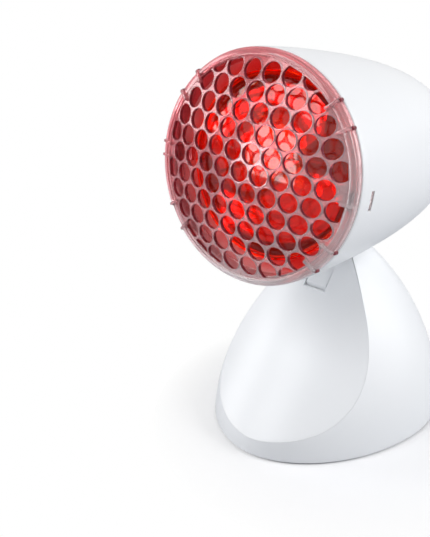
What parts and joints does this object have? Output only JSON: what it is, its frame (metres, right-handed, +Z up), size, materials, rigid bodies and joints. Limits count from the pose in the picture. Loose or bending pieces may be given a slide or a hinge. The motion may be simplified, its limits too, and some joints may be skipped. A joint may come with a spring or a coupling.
{
  "type": "infrared heat therapy lamp",
  "caption": "Small table-top infrared heat lamp: a red reflector lamp behind a clear honeycomb guard in a bell-shaped head that tilts in clicks on a domed pedestal.",
  "frame": {"origin": "on the floor, under the middle of the whole lamp's box with the head at rest", "axes": "+Z up, the lamp shines towards -Y, +X to the lamp's left side as it faces you"},
  "size_m": [0.1074, 0.145, 0.1901],
  "materials": {
    "housing_plastic": "white moulded plastic, glossy",
    "guard_plastic": "clear moulded polycarbonate",
    "red_glass": "red pressed glass, polished",
    "reflector_glass": "red glass, mirrored inside",
    "brass": "plain stamped brass",
    "steel": "zinc-plated steel",
    "tungsten": "coiled tungsten wire and its leads",
    "ceramic": "glazed porcelain",
    "nylon": "satin moulded nylon",
    "rubber": "soft grey rubber",
    "black_glass": "black glass insulator of the lamp cap"
  },
  "bodies": {
    "base": {"base_shell": "housing_plastic", "front_panel": "housing_plastic", "bottom_plate": "nylon", "rubber_foot_1": "rubber", "rubber_foot_2": "rubber", "rubber_foot_3": "rubber", "rubber_foot_4": "rubber", "base_screw_1": "steel", "base_screw_2": "steel", "base_screw_3": "steel", "base_screw_4": "steel", "tilt_bracket": "steel", "bracket_screw_1": "steel", "bracket_screw_2": "steel", "tilt_axle": "steel", "axle_clip": "steel", "axle_spacer": "nylon", "detent_spring": "steel", "cord_gland": "rubber", "terminal_block": "nylon"},
    "head": {"housing_shell": "housing_plastic", "protective_grille": "guard_plastic", "detent_wheel": "nylon", "bulb_lens": "red_glass", "bulb_reflector": "reflector_glass", "filament_mount": "tungsten", "filament": "tungsten", "bulb_cap": "brass", "bulb_cap_insulator": "black_glass", "bulb_contact": "brass", "lamp_holder": "ceramic", "holder_sleeve": "brass", "holder_contact": "brass", "holder_bracket": "steel", "holder_screw_left": "steel", "holder_screw_right": "steel"}
  },
  "joints": [
    {"name": "head_tilt", "type": "hinge", "parent": "base", "child": "head", "pos_m": [0, 0.00625, 0.071], "axis": [-1, 0, 0], "range_deg": [-8, 24]}
  ]
}
